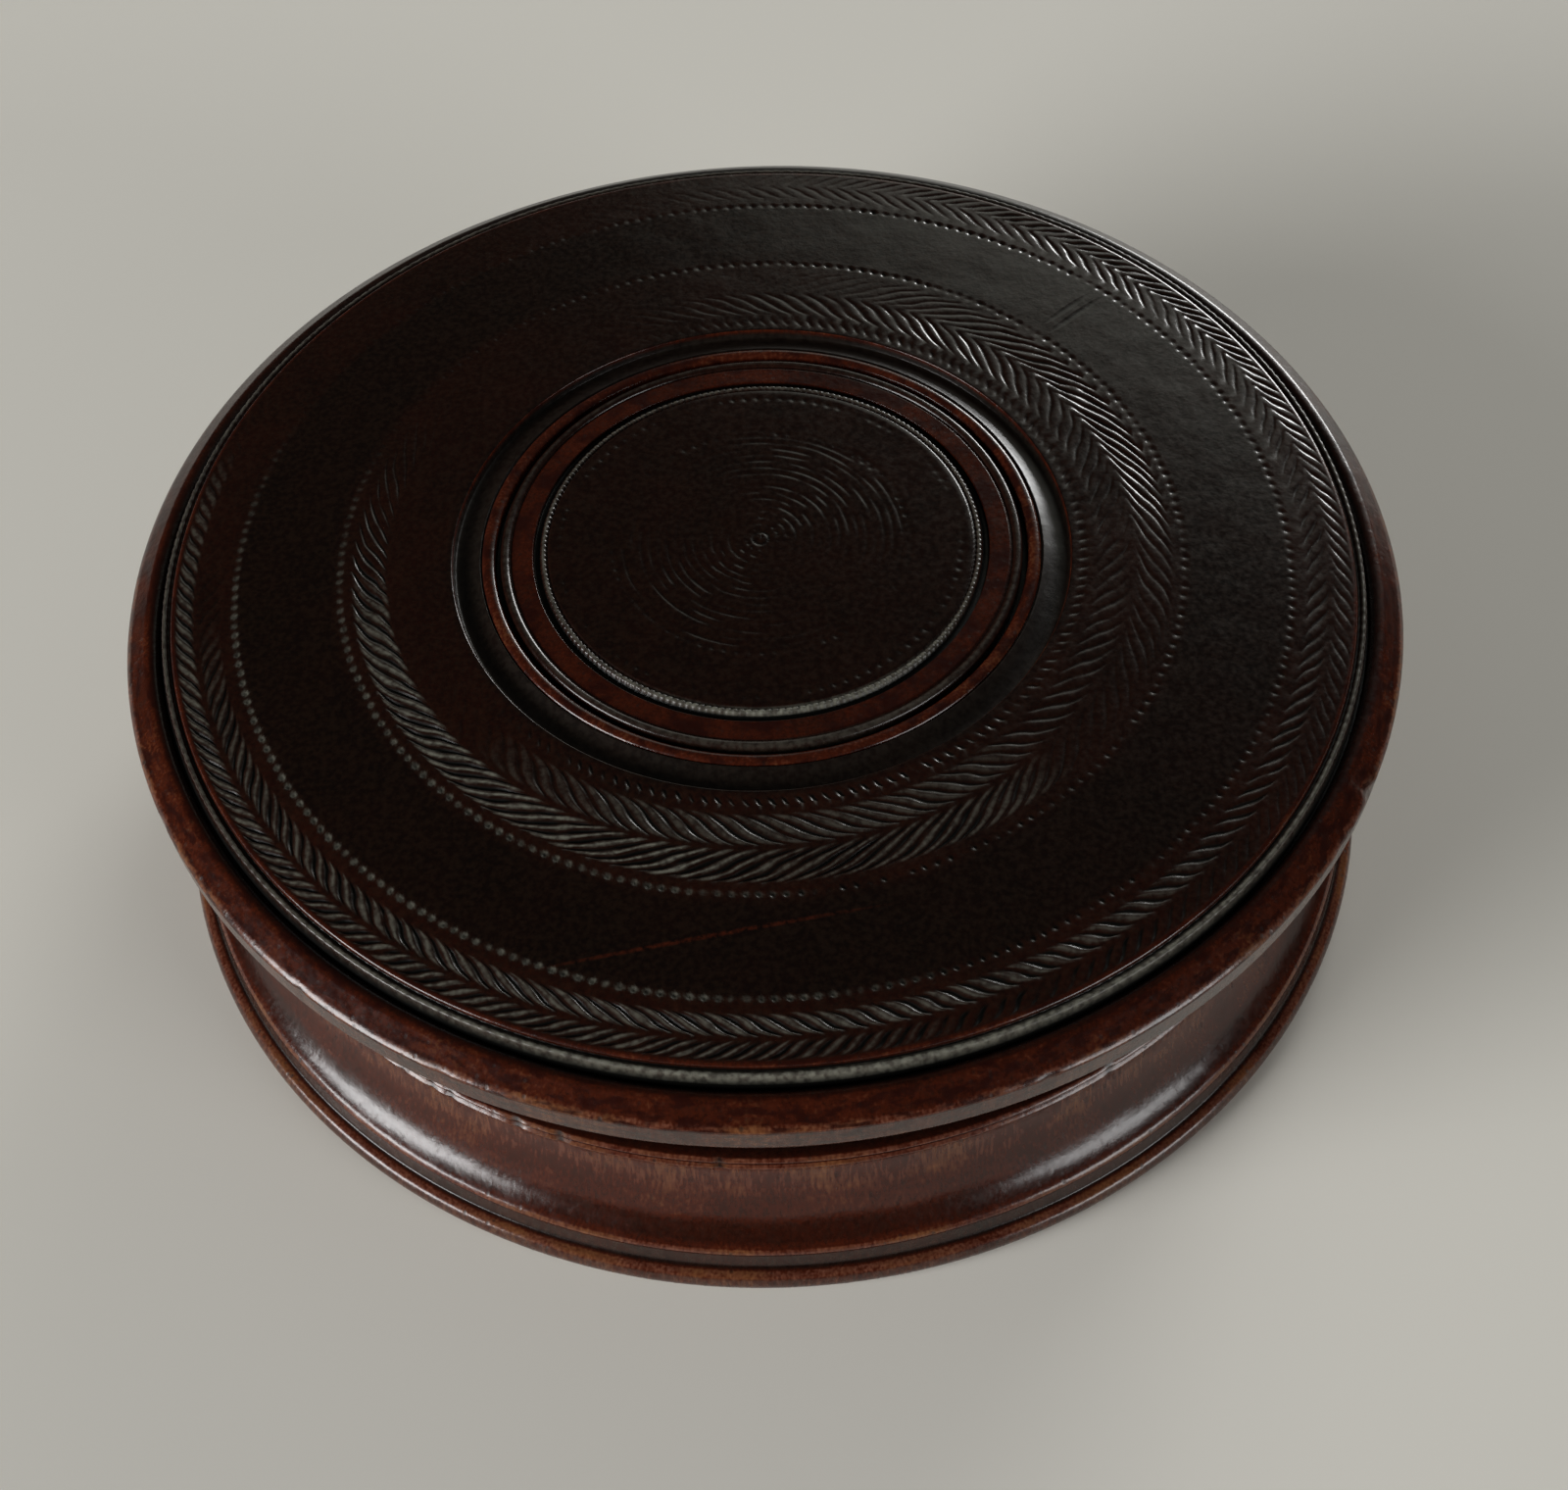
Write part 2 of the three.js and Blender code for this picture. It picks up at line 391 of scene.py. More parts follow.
def baseOutline():
    s = baseShape
    footWide, footTall = s["footRound"]
    foot = footRadius - footWide
    arrisRadius, arrisBottom, arrisTop = s["arris"]
    throatRadius, throatHeight = s["throat"]
    topRadius, topHeight = s["coveTop"]
    end = math.radians(68)
    reach = (arrisRadius - throatRadius) / (1 - math.cos(end))
    drop = (throatHeight - arrisTop) / math.sin(end)
    rise = topHeight - throatHeight
    flat, bandLow, bandHigh, bandRound = s["band"]
    slantIn, slantUp = s["slant"]
    innerCorner = s["hollow"] - s["corner"]
    return [
        (0, s["recess"] + 0.25, "bare"),
        (1.2, s["recess"] + 0.1, "bare"),
        (1.5, s["recess"], "bare"),
        *scribedRing(*s["scribed"], s["recess"]),
        (s["restRadius"] - 0.5, s["recess"], "bare"),
        (s["restRadius"], 0, "brown"),
        *arc(foot, footTall, footWide, footTall, -90, 38, 11, "dusty"),
        *arc(foot, footTall, footWide, footTall, 48, 82, 4, "brown"),
        (*s["scotia"][0], "shaded"),
        *[(*point, "scotia") for point in s["scotia"][1:]],
        (arrisRadius, arrisBottom, "dim"),
        (arrisRadius, arrisTop - s["flat"], "brown"),
        (arrisRadius - 0.13, arrisTop + 0.03, "brown"),
        *arc(throatRadius + reach, throatHeight, reach, drop, 245, 243, 1, "handled"),
        *arc(throatRadius + reach, throatHeight, reach, drop, 239, 227, 3, "dim"),
        *arc(throatRadius + reach, throatHeight, reach, drop, 222, 218, 1, "handled"),
        *arc(throatRadius + reach, throatHeight, reach, drop, 212, 204, 2, "handled"),
        *arc(throatRadius + reach, throatHeight, reach, drop, 197, 180, 4, "browned"),
        *arc(topRadius, throatHeight, topRadius - throatRadius, rise, 172, 90, 7, "browned"),
        *arc(flat, bandLow, bandRound, bandRound, -80, 20, 4, "brown"),
        (flat - slantIn, bandLow + slantUp, "brown"),
        (s["valley"], bandLow + slantUp + 0.08, "dim"),
        (s["valley"], bandHigh - bandRound - 0.1, "dim"),
        *arc(flat, bandHigh, bandRound, bandRound, -80, 20, 4, "brown"),
        (flat - slantIn, bandHigh + slantUp, "brown"),
        (flat - 0.15, bandHigh + bandRound + s["flat"], "dim"),
        (s["neck"], bandHigh + bandRound + s["flat"], "shaded"),
        (s["neck"], s["shoulder"], "shaded"),
        (s["collar"], s["shoulder"], "shaded"),
        (s["collar"], collarTop - s["chamfer"], "bare"),
        (s["collar"] - s["chamfer"], collarTop, "bare"),
        (s["hollow"] + s["chamfer"], collarTop, "bare"),
        (s["hollow"], collarTop - s["chamfer"], "bare"),
        *arc(innerCorner, s["floor"] + s["corner"], s["corner"], s["corner"], 0, -90, 10, "shaded"),
        (0, s["floor"], "shaded"),
    ]


# Nicks across the band's two beads: angle in degrees
nicks = [221.5, 229.2, 232.2, 235.2, 237.9, 244.9, 248.8, 263.4, 301.0]
nickDepth = 0.11
nickDirt = 0.9


def nickBand(piece):
    dirtAndShade = piece.data.attributes["dirtAndShade"].data
    flat, bandLow, bandHigh, bandRound = baseShape["band"]
    for index, vertex in enumerate(piece.data.vertices):
        r = vertex.co.xy.length / mm
        if r < baseShape["valley"] + 0.02 or not bandLow - bandRound < vertex.co.z / mm < bandHigh + 0.25:
            continue
        turnAngle = math.degrees(math.atan2(vertex.co.y, vertex.co.x)) % 360
        if min(abs(turnAngle - nick) for nick in nicks) < 180 / fineSteps:
            vertex.co.xy *= 1 - nickDepth / r
            dirtAndShade[index].value = nickDirt


def buildBase(material):
    piece = turn("base_turned", easeCorners(baseOutline()), fineSteps)
    nickBand(piece)
    finishPiece(piece, "base", [material])
    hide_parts("base")
    return piece


# The lid: skirt, rim, milled bead, domed panel with its pressed rows, and the edge of the medallion

lidShape = {
    "domeRise": 2.1,
    "panelRadius": 41.49,
    "ceiling": 21.3,
    "recess": 38.9,
    "recessCorner": 1.5,
    "scribed": (31.4, 0.3),
    "skirt": 41.5,
    "skirtRound": 0.22,
    "skirtTop": 17.7,
    "skirtCurve": 1.6,
    "rimTop": (43.15, 22.50, 0.85),
    "rimFace": (44.76, 22.41),
    "rimEdge": (44.67, 22.01, 0.32),
    "rimUnder": (43.3, 20.6, 1.58, 1.3),
    "rimMiddle": 43.3,
    "grooveFloor": 22.8,
    "grooveInner": 42.33,
    "grooveOuter": 42.5,
    "beadMiddle": 41.98,
    "beadHeight": 24.0,
    "beadRadius": 0.21,
    "beadCount": 325,
    "beadNotch": 0.2,                # how deep its notches are, as a share of its height
    "medallionEdge": 21.7,
    "ovolo": (19.12, 0.46, 0.32),    # middle, half width and drop of the worn bead round the medallion
    "cove": [(19.72, 0.12), (20.05, 0.33), (20.5, 0.51), (20.9, 0.63), (21.25, 0.70), (21.5, 0.66),
             (21.6, 0.4)],
    "seatRadius": 18.55,
    "grooveDepth": 1.05,
}

# Each pressed row: inner and outer radius in mm, how many marks, how far a stroke leans in degrees
# from its inner to its outer end, and how deep it is pressed. A row without a lean is a row of dots
lidRows = {
    "dotsC": {"inner": 22.2, "outer": 22.9, "count": 160, "lean": 1.1, "depth": 0.12},
    "strokesInner2": {"inner": 23.5, "outer": 25.95, "count": 112, "lean": 8.8, "depth": 0.12},
    "strokesOuter2": {"inner": 26.2, "outer": 28.75, "count": 112, "lean": -11.2, "depth": 0.14},
    "dotsB": {"inner": 29.15, "outer": 30.0, "count": 207, "depth": 0.15},
    "dotsA": {"inner": 36.58, "outer": 37.42, "count": 262, "depth": 0.15},
    "strokesInner1": {"inner": 38.0, "outer": 39.6, "count": 172, "lean": 4.0, "depth": 0.12},
    "strokesOuter1": {"inner": 39.85, "outer": 41.2, "count": 200, "lean": -3.3, "depth": 0.12},
}
plainRing = (30.45, 36.25)    # the polished ring between the two bands, and its points' spacing in mm
plainStep = 0.58
panelStart = lidShape["medallionEdge"] + 0.2
panelEnd = 41.25              # where the panel's edge and milled bead begin
edgeFade = 0.4                # within so many mm of either end, the marks stray less and less

# How far hand pressure has swung the strokes round, in mm, at radii across the panel
swings = [(22.0, 0.0), (23.4, 0.5), (26.1, 1.9), (28.8, 1.2), (29.2, 0.2), (30.1, 0.0),
          (36.5, 0.0), (37.6, 0.3), (39.7, 1.1), (41.25, 0.0)]


def domeHeight(r):
    return crown - lidShape["domeRise"] * (r / lidShape["panelRadius"]) ** 2


def rimOutline():
    s = lidShape
    corner = s["recessCorner"]
    inner = s["recess"] - corner
    topRadius, topHeight, topRound = s["rimTop"]
    edgeRadius, edgeHeight, edgeRound = s["rimEdge"]
    underRadius = s["rimUnder"][0]
    skirtRound = s["skirtRound"]
    return [
        (0, s["ceiling"], "bare"),
        *scribedRing(*s["scribed"], s["ceiling"]),
        *arc(inner, s["ceiling"] - corner, corner, corner, 90, 0, 7, "bare"),
        (s["recess"], skirtBottom, "bare"),
        *arc(s["skirt"] - skirtRound, skirtBottom + skirtRound, skirtRound, skirtRound, -80, 0, 4, "dim"),
        (s["skirt"], skirtBottom + 0.6, "shaded"),
        *arc(underRadius, s["skirtTop"], underRadius - s["skirt"], s["skirtCurve"], 180, 150, 3, "dim"),
        *arc(underRadius, s["skirtTop"], underRadius - s["skirt"], s["skirtCurve"], 140, 110, 3, "handled"),
        *arc(*s["rimUnder"], -80, -8, 9, "dusty"),
        *arc(edgeRadius, edgeHeight, edgeRound, edgeRound, -14, 12, 3, "dusty"),
        *arc(edgeRadius, edgeHeight, edgeRound, edgeRound, 22, 40, 3, "brown"),
        (*s["rimFace"], "brown"),
        (s["rimFace"][0] - 0.2, s["rimFace"][1] + 0.14, "handled"),
        *arc(topRadius, topHeight, topRound, topRound, 55, 80, 4, "handled"),
        *arc(topRadius, topHeight, topRound, topRound, 90, 108, 3, "dim"),
        *arc(topRadius, topHeight, topRound, topRound, 118, 138, 3, "shaded"),
        (s["grooveOuter"], s["grooveFloor"], "groove"),
        (0, s["grooveFloor"], "groove"),
    ]


def medallionEdgeOutline():
    s = lidShape
    edge = s["medallionEdge"]
    middle, wide, drop = s["ovolo"]
    seat = domeHeight(s["seatRadius"]) - s["grooveDepth"]
    return [
        (0, seat, "groove"),
        (middle - wide, seat, "groove"),
        *arc(middle, domeHeight(middle) - drop, wide, drop, 180, 10, 10, "ovolo"),
        (middle + wide + 0.02, domeHeight(middle) - drop, "groove"),
        *[(r, domeHeight(r) - depth, "cove") for r, depth in s["cove"]],
        (edge - 0.03, domeHeight(edge) - 0.05, "handled"),
        (edge + 0.04, domeHeight(edge), "handled"),
        (panelStart, domeHeight(panelStart), "dim"),
    ]


# Half the section of a pressed stroke, from the middle of its valley to the middle of the ridge beside
# it: how far aside, as a share of the distance between strokes, and what share of the full depth
strokeSection = [(0, 1), (0.1, 0.8), (0.2, 0.32), (0.33, 0.07), (0.5, 0)]
strokeEnds = 6         # a stroke's depth fades over a sixth of its length at each end
strokeStep = 0.25      # how far apart its points lie along it, in mm
strokeBend = 0.05      # how far it bends like an S, as a share of its lean
dotAsides = [0, 0.13, 0.28, 0.5]    # the points of a dot's cell, as shares of the distance between dots
dotRadius = 0.30
dotPoints = (6, 6)     # how many steps such a cell has across and along


# A pressed stroke: a valley with blunt ends, so that a narrow rounded ridge stands between two of them
def strokeForm(row, rows):
    def form(across, along):
        v = along / rows
        swell = min(1.0, strokeEnds * v, strokeEnds * (1 - v)) ** 0.7
        aside, share = strokeSection[abs(across)]
        depth = share * swell * row["depth"]
        r = row["inner"] + (row["outer"] - row["inner"]) * v
        bent = v - 0.5 + strokeBend * math.sin(2 * math.pi * v)
        lean = row["lean"] * bent / 360 * row["count"]
        return r, math.copysign(aside, across) + lean, domeHeight(r) - depth, tones["dim"]
    return form


# A pressed dot: a small round pit with a pointed bottom
def dotForm(row, rows):
    def form(across, along):
        v = along / rows
        r = row["inner"] + (row["outer"] - row["inner"]) * v
        offset = math.copysign(dotAsides[abs(across)], across)
        width = 2 * math.pi * r / row["count"]
        far = math.hypot(offset * width, (v - 0.5) * (row["outer"] - row["inner"])) / dotRadius
        depth = max(0.0, 1 - far) * row["depth"]
        return r, offset, domeHeight(r) - depth, tones["field"]
    return form


# A milled bead: a half-round bead notched across, with its feet
def beadForm(outline, middle, height, notch):
    def form(across, along):
        r, z, share, tone = outline[along]
        pinch = 1 - share * notch * (0, 0.15, 1)[abs(across)]
        offset = across / 4
        return middle + (r - middle) * pinch, offset, height + (z - height) * pinch, tones[tone]
    return form


def milledBead(name, middle, height, radius, count, before, after, notch):
    bead = [(r, z, 1, tone) for r, z, tone in arc(middle, height, radius, radius, 170, 0, 6, "waxed")]
    outline = [(*point[:2], 0, point[2]) for point in before] + bead
    outline += [(*point[:2], 0, point[2]) for point in after]
    form = beadForm(outline, middle, height, notch)
    return ringOfCells(name, count, 4, len(outline) - 1, form)


# The rings of the panel where red-brown wood shows: radii in mm, and how much of it
reddened = [(22.0, 29.9, 0.04), (36.9, 41.6, 0.05)]
reddenedFade = 0.5    # how softly such a ring ends, in mm
leastWorn = 70        # the side where hands have worn it least, in degrees


# How much red-brown wood shows at a place on the panel: most among the pressed rows and towards the
# front, where hands hold the box, and hardly any on the plain ring
def rowWorn(r, turnAngle):
    shown = 0.0
    for low, high, amount in reddened:
        inside = min(r - low, high - r)
        shown = max(shown, amount * max(0.0, min(1.0, 0.5 + inside / reddenedFade)))
    return tones["polish"][0] + shown * (1.0 - 0.5 * math.cos(math.radians(turnAngle - leastWorn)))


# How each mark strays by itself: how many times that changes in a mm, how far it goes aside in mm, and
# what share of that it goes outward
kinks = {"perMm": 0.75, "far": 0.15, "outward": 0.5}


# How far a point of the panel strays from its true place, aside and outward in mm
def stray(r, turnAngle, place):
    before = max((s for s in swings if s[0] <= r), default=swings[0])
    after = min((s for s in swings if s[0] > r), default=swings[-1])
    share = (r - before[0]) / max(0.01, after[0] - before[0])
    a = math.radians(turnAngle)
    aside = 0
    for (radius, swing), weight in ((before, 1 - share), (after, share)):
        aside += weight * swing * noise.noise(Vector((2.1 * math.cos(a), 2.1 * math.sin(a), radius)))
    kink = noise.noise_vector(place * kinks["perMm"]) * kinks["far"]
    return aside + kink.x, kink.y * kinks["outward"]


# How evenly the marks were pressed: the usual share of their depth, how much that varies, its limits,
# and how many times it changes in a mm
pressing = {"usual": 0.95, "varies": 1.1, "least": 0.15, "most": 1.1, "perMm": 0.7}
valleyShadeBegins, valleyShadeSteep = 0.02, 10    # the depth in mm where painted shade in a pressed mark begins, and how much of it each mm adds
leastDepth = 0.003                  # what is shallower than this, in mm, is no mark


# Where wood has been rubbed the marks are shallower; each mark also differs a little, as hand work does
def handWork(piece):
    worn, dirtAndShade, waxAndHighlights = (piece.data.attributes[name].data for name in ("worn", "dirtAndShade", "waxAndHighlights"))
    for index, vertex in enumerate(piece.data.vertices):
        r = vertex.co.xy.length / mm
        top = domeHeight(r)
        depth = top - vertex.co.z / mm
        turnAngle = math.degrees(math.atan2(vertex.co.y, vertex.co.x)) % 360
        if waxAndHighlights[index].value > tones["waxed"][2] - 0.01:
            waxAndHighlights[index].value *= waxAndHighlightShown(r, turnAngle, lidShape["beadMiddle"])
        if r > panelEnd or r < lidShape["medallionEdge"] or depth > 0.5:
            continue
        place = vertex.co / mm
        if depth > leastDepth:
            uneven = pressing["usual"] + pressing["varies"] * noise.noise(place * pressing["perMm"])
            depth *= pressedShare(r, turnAngle) * max(pressing["least"], min(pressing["most"], uneven))
        worn[index].value = rowWorn(r, turnAngle)
        # Painted highlights: grey on the ridges and in the dots in stretches at the front left
        waxAndHighlights[index].value = rowHighlights(r, turnAngle, depth)
        # Painted shade: the deeper a pressed stroke or dot is, the darker it is painted
        dirtAndShade[index].value = min(1.0, valleyShadeSteep * max(0.0, depth - valleyShadeBegins))
        if plainRing[0] < r < plainRing[1]:
            continue
        fade = max(0.0, min(1.0, (panelEnd - r) / edgeFade, (r - panelStart) / edgeFade))
        aside, outward = stray(r, turnAngle, place)
        radial = vertex.co.xy.normalized()
        moved = vertex.co.xy / mm + (Vector((-radial.y, radial.x)) * aside + radial * outward) * fade
        vertex.co = (moved.x * mm, moved.y * mm, (domeHeight(moved.length) - depth) * mm)


# How much deeper or shallower than usual a stretch of a row is: its radii in mm, its middle and half
# width in degrees, and the change. Hands have rubbed the back left nearly smooth
pressures = [
    (21.8, 26.1, 152, 92, 0.0), (21.8, 26.1, 10, 75, 0.5), (26.1, 29.0, 108, 74, 0.0),
    (26.1, 29.0, 340, 42, 0.25), (26.1, 29.0, 235, 62, 1.3), (29.0, 30.3, 145, 60, 0.35),
    (29.0, 30.3, 0, 70, 0.6), (36.3, 37.6, 135, 60, 0.3), (36.3, 37.6, 0, 60, 0.5),
    (37.6, 39.75, 126, 72, 0.0), (37.6, 39.75, 30, 60, 0.5), (37.6, 39.75, 250, 62, 1.3),
    (39.75, 41.4, 118, 62, 0.0), (39.75, 41.4, 345, 42, 0.35), (39.75, 41.4, 240, 62, 1.3),
]


# Painted highlights: grey, in the wax's colour, on the ridges between strokes and in the dots, in stretches
# at the front left, the same way
ridgeHighlights = [(26.3, 28.7, 226, 44, 1.0), (23.6, 25.9, 268, 46, 0.3), (39.9, 41.15, 224, 62, 0.7),
              (38.1, 39.55, 252, 66, 0.6), (26.3, 28.7, 280, 34, 0.4)]
dotHighlights = [(29.0, 30.3, 216, 60, 0.5), (36.3, 37.6, 222, 66, 0.55)]
ridgeTop = 0.013     # how deep, in mm, the painted grey reaches down a ridge
dotFilled = 0.05     # how deep a dot has to be to be painted fully grey


def nearTurn(turnAngle, angle, width):
    return max(0.0, 1 - (abs((turnAngle - angle + 180) % 360 - 180) / width) ** 3)


def pressedShare(r, turnAngle):
    pressed = 1.0
    for low, high, angle, width, change in pressures:
        if low <= r < high:
            pressed *= 1 + (change - 1) * nearTurn(turnAngle, angle, width)
    return pressed


def highlightShare(places, r, turnAngle):
    return sum(amount * nearTurn(turnAngle, angle, width)
               for low, high, angle, width, amount in places if low <= r < high)


def rowHighlights(r, turnAngle, depth):
    onRidges = highlightShare(ridgeHighlights, r, turnAngle) * max(0.0, 1 - depth / ridgeTop)
    return onRidges + highlightShare(dotHighlights, r, turnAngle) * min(1.0, depth / dotFilled)


# Grey on a milled bead: old wax, with painted light. At the front it covers the bead as a painted sheen;
# elsewhere only a thin painted highlight line on its crest is grey. Where the front is, in degrees, and the
# line's half width in mm and strength, with what the front adds
beadWaxAndHighlight = {"front": 281, "reach": 38, "line": (0.09, 0.27), "strong": (0.7, 0.45)}


def waxAndHighlightShown(r, turnAngle, middle):
    front = math.exp(-((turnAngle - beadWaxAndHighlight["front"]) / beadWaxAndHighlight["reach"]) ** 2)
    (line, lineMore), (strong, strongMore) = beadWaxAndHighlight["line"], beadWaxAndHighlight["strong"]
    crest = math.exp(-((r - middle) / (line + lineMore * front)) ** 2)
    return crest * (strong + strongMore * front)


# Knocks in the rim's edge: angle in degrees, height, width and depth in mm
knocks = [
    (331.8, 22.4, 1.05, 0.5), (327.0, 22.35, 0.5, 0.22), (325.2, 21.9, 0.45, 0.2),
    (241.5, 22.1, 0.5, 0.12), (227.0, 22.0, 0.5, 0.12), (262.0, 22.1, 0.7, 0.08),
    (205.0, 21.9, 0.6, 0.14), (291.0, 22.1, 0.5, 0.16),
]
handDents = {"perMm": 0.8, "deep": 0.012}    # shallow dents all round it, from handling


def knockRim(piece):
    for vertex in piece.data.vertices:
        r = vertex.co.xy.length / mm
        if r < lidShape["rimMiddle"]:
            continue
        turnAngle = math.degrees(math.atan2(vertex.co.y, vertex.co.x)) % 360
        z = vertex.co.z / mm
        pushed = handDents["deep"] * noise.noise(vertex.co / mm * handDents["perMm"])
        for angle, height, width, depth in knocks:
            aside = math.radians((turnAngle - angle + 180) % 360 - 180) * r
            far = math.hypot(aside, z - height) / width
            pushed += depth * max(0.0, 1 - far)
        vertex.co.xy *= 1 - max(0.0, pushed) / r


# Painted shade on the back of the rim: towards the back its colour is painted less worn, darker and duller
backShade = {"lessWorn": 0.75, "paintedShade": 0.6}


def paintShadeOnBack(piece):
    worn, dirtAndShade = (piece.data.attributes[name].data for name in ("worn", "dirtAndShade"))
    for index, vertex in enumerate(piece.data.vertices):
        if vertex.co.z / mm > lidShape["rimUnder"][1]:
            r = vertex.co.xy.length
            kept = max(0.0, vertex.co.y / r) if r else 0.0
            worn[index].value *= 1 - backShade["lessWorn"] * kept
            dirtAndShade[index].value = max(dirtAndShade[index].value, backShade["paintedShade"] * kept)


def buildRim(material):
    piece = turn("lid_turned", easeCorners(rimOutline()), fineSteps)
    knockRim(piece)
    paintShadeOnBack(piece)
    finishPiece(piece, "lid", [material])
    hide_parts("lid")
    return piece


def buildPanel(material):
    s = lidShape
    edge = s["panelRadius"]
    beadFoot = [
        (panelEnd, domeHeight(panelEnd), "dim"),
        (edge - 0.06, domeHeight(edge - 0.06), "handled"),
        (edge + 0.05, domeHeight(edge) - 0.13, "handled"),
        (edge + 0.06, domeHeight(edge) - 0.2, "dim"),
        (edge + 0.13, s["beadHeight"] - 0.02, "groove"),
    ]
    beadSide = [(42.30, 23.4, "groove")]
    under = s["grooveFloor"] - 0.02
    ringSteps = round((plainRing[1] - plainRing[0]) / plainStep)
    radii = [plainRing[0] + (plainRing[1] - plainRing[0]) * i / ringSteps for i in range(ringSteps + 1)]
    pieces = [
        turn("panelUnder", [(0, under, "groove"), (s["grooveInner"], under, "groove")]),
        turn("plainRing", [(r, domeHeight(r), "polish") for r in radii]),
        turn("medallionEdge", easeCorners(medallionEdgeOutline())),
        milledBead("milledBead", s["beadMiddle"], s["beadHeight"], s["beadRadius"], s["beadCount"],
                   beadFoot, beadSide, s["beadNotch"]),
    ]
    for name, row in lidRows.items():
        if "lean" in row:
            steps = max(4, round((row["outer"] - row["inner"]) / strokeStep))
            pieces.append(ringOfCells(name, row["count"], 8, steps, strokeForm(row, steps)))
        else:
            pieces.append(ringOfCells(name, row["count"], *dotPoints, dotForm(row, dotPoints[1])))
    panel = joinPieces("lid_panel", pieces)
    bounds = [panelStart, *plainRing, panelEnd]
    for row in lidRows.values():
        bounds += [row["inner"], row["outer"]]
    bounds.sort()
    for inner, outer in zip(bounds[0::2], bounds[1::2]):
        bridgeRings(panel, inner, outer)
    bridgeRings(panel, beadSide[0][0], s["grooveInner"])
    weld(panel)
    handWork(panel)
    finishPiece(panel, "lid", [material])
    return panel


# The medallion inside its groove: pale bead, red band, inner milled bead, two rows of dots, and a
# field with fine concentric chatter marks

medallionShape = {
    "edge": 18.3,
    "beadWidth": 0.7,
    "bandInner": 16.0,
    "bandSink": 0.15,
    "grooveInner": 15.55,
    "grooveDepth": 0.5,
    "milledMiddle": 15.25,
    "milledRadius": 0.24,
    "milledCount": 212,
    "milledNotch": 0.3,          # how deep its notches are, as a share of its height
    "fieldEdge": 14.8,
    "chatterPitch": 0.62,
    "chatterDepth": 0.055,
    "chatterEnd": 11.5,          # where the chatter has died away, and over how many mm it does
    "chatterFade": 1.5,
    "chatterStrongest": 0.8,     # where round the field it is strongest, in radians
    "centreRing": (0.55, 0.14, 0.07),    # radius, half width and depth of the mark of the lathe's centre
    "pressed": (1.8, 0.35),      # how much the dots' depth varies, and how many times in a mm
    "broken": (2.0, 1.7, 3.5),   # the same for the chatter: in a mm outward, and in a radian round
    "paintedShade": (0.01, 9, 0.8),      # the depth where painted shade begins in the marks, how much each mm adds, and the most
    "uneven": (0.008, 1.3),      # the depth of shallow hollows all over it, and how many in a mm
}

medallionRows = {
    "dotsG": {"inner": 9.95, "outer": 10.75, "count": 75, "depth": 0.07},
    "dotsF": {"inner": 13.65, "outer": 14.45, "count": 101, "depth": 0.08},
}
rowGap = 0.1    # between such a row and the plain field beside it, closed by a bridge


def medallionOutline():
    s, low = medallionShape, lidShape
    seat = domeHeight(low["seatRadius"]) - low["grooveDepth"] + 0.02
    edge, width = s["edge"], s["beadWidth"]
    bandOuter = edge - width - 0.2
    beadMiddle = edge - width / 2
    return [
        (0, seat, "groove"),
        (edge, seat, "groove"),
        *arc(beadMiddle, domeHeight(beadMiddle) - width / 2, width / 2, width / 2, 0, 165, 10, "darkBead"),
        (bandOuter, domeHeight(bandOuter) - s["bandSink"], "band"),
        (s["bandInner"], domeHeight(s["bandInner"]) - s["bandSink"], "band"),
        (s["bandInner"] - 0.05, domeHeight(s["bandInner"]) - s["grooveDepth"], "groove"),
        (s["grooveInner"] + 0.07, domeHeight(s["grooveInner"]) - s["grooveDepth"], "groove"),
    ]


# Plain field between two radii, turned with points close enough for its chatter marks
def fieldOutline(inner, outer, spacing):
    steps = round((outer - inner) / spacing)
    radii = [inner + (outer - inner) * i / steps for i in range(steps + 1)]
    return [(r, domeHeight(r), "field") for r in radii]


